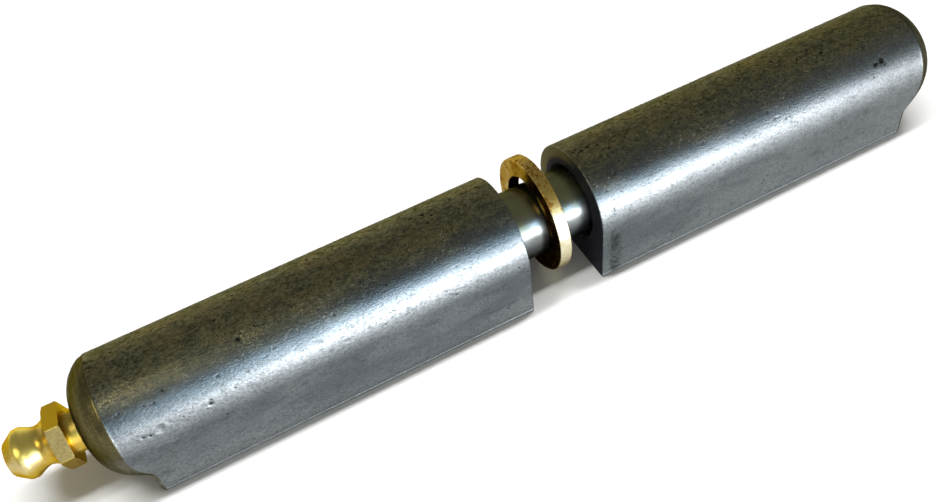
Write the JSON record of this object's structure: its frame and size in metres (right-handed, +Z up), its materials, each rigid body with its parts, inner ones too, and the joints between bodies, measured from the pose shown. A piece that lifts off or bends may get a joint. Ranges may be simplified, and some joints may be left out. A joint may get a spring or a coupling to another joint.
{
  "type": "weld-on hinge with grease nipple",
  "caption": "Weld-on barrel hinge: two teardrop-section steel barrels on a pin, parted to show the brass thrust washer, with a grease nipple in one nose.",
  "frame": {"origin": "under the middle of the whole hinge, on the surface that it lies on", "axes": "+X along the pin from the grease half to the plain half, +Y away from the tips of the barrels, +Z up from the flank that it lies on"},
  "size_m": [0.1508, 0.0192, 0.0184],
  "materials": {
    "barrel_steel": "cold drawn, oiled, with mill stains",
    "pin_steel": "ground bright",
    "washer_brass": "turned, slightly tarnished",
    "nipple_brass": "turned bright",
    "ball_steel": "polished",
    "spring_steel": "drawn wire"
  },
  "bodies": {
    "plain_half": {"plain_barrel": "barrel_steel"},
    "pin": {"hinge_pin": "pin_steel"},
    "grease_half": {"grease_barrel": "barrel_steel", "nipple_body": "nipple_brass", "check_spring": "spring_steel"},
    "washer": {"thrust_washer": "washer_brass"},
    "valve_ball": {"check_ball": "ball_steel"}
  },
  "joints": [
    {"name": "swing", "type": "hinge", "parent": "plain_half", "child": "pin", "pos_m": [0, -0.00019, 0.009], "axis": [1, 0, 0], "continuous": true},
    {"name": "lift_off", "type": "slide", "parent": "pin", "child": "grease_half", "axis": [-1, 0, 0], "range_m": [-0.0102, 0.048]},
    {"name": "washer_slide", "type": "slide", "parent": "plain_half", "child": "washer", "axis": [-1, 0, 0], "range_m": [-0.005, 0.024]},
    {"name": "ball_press", "type": "slide", "parent": "grease_half", "child": "valve_ball", "axis": [1, 0, 0], "range_m": [0, 0.0009], "stiffness_N_per_m": 600, "springref_m": -0.0005, "deforming": ["check_spring"]}
  ],
  "couplings": [
    {"joint": "washer_slide", "follows": "lift_off", "ratio": 0.4902}
  ]
}
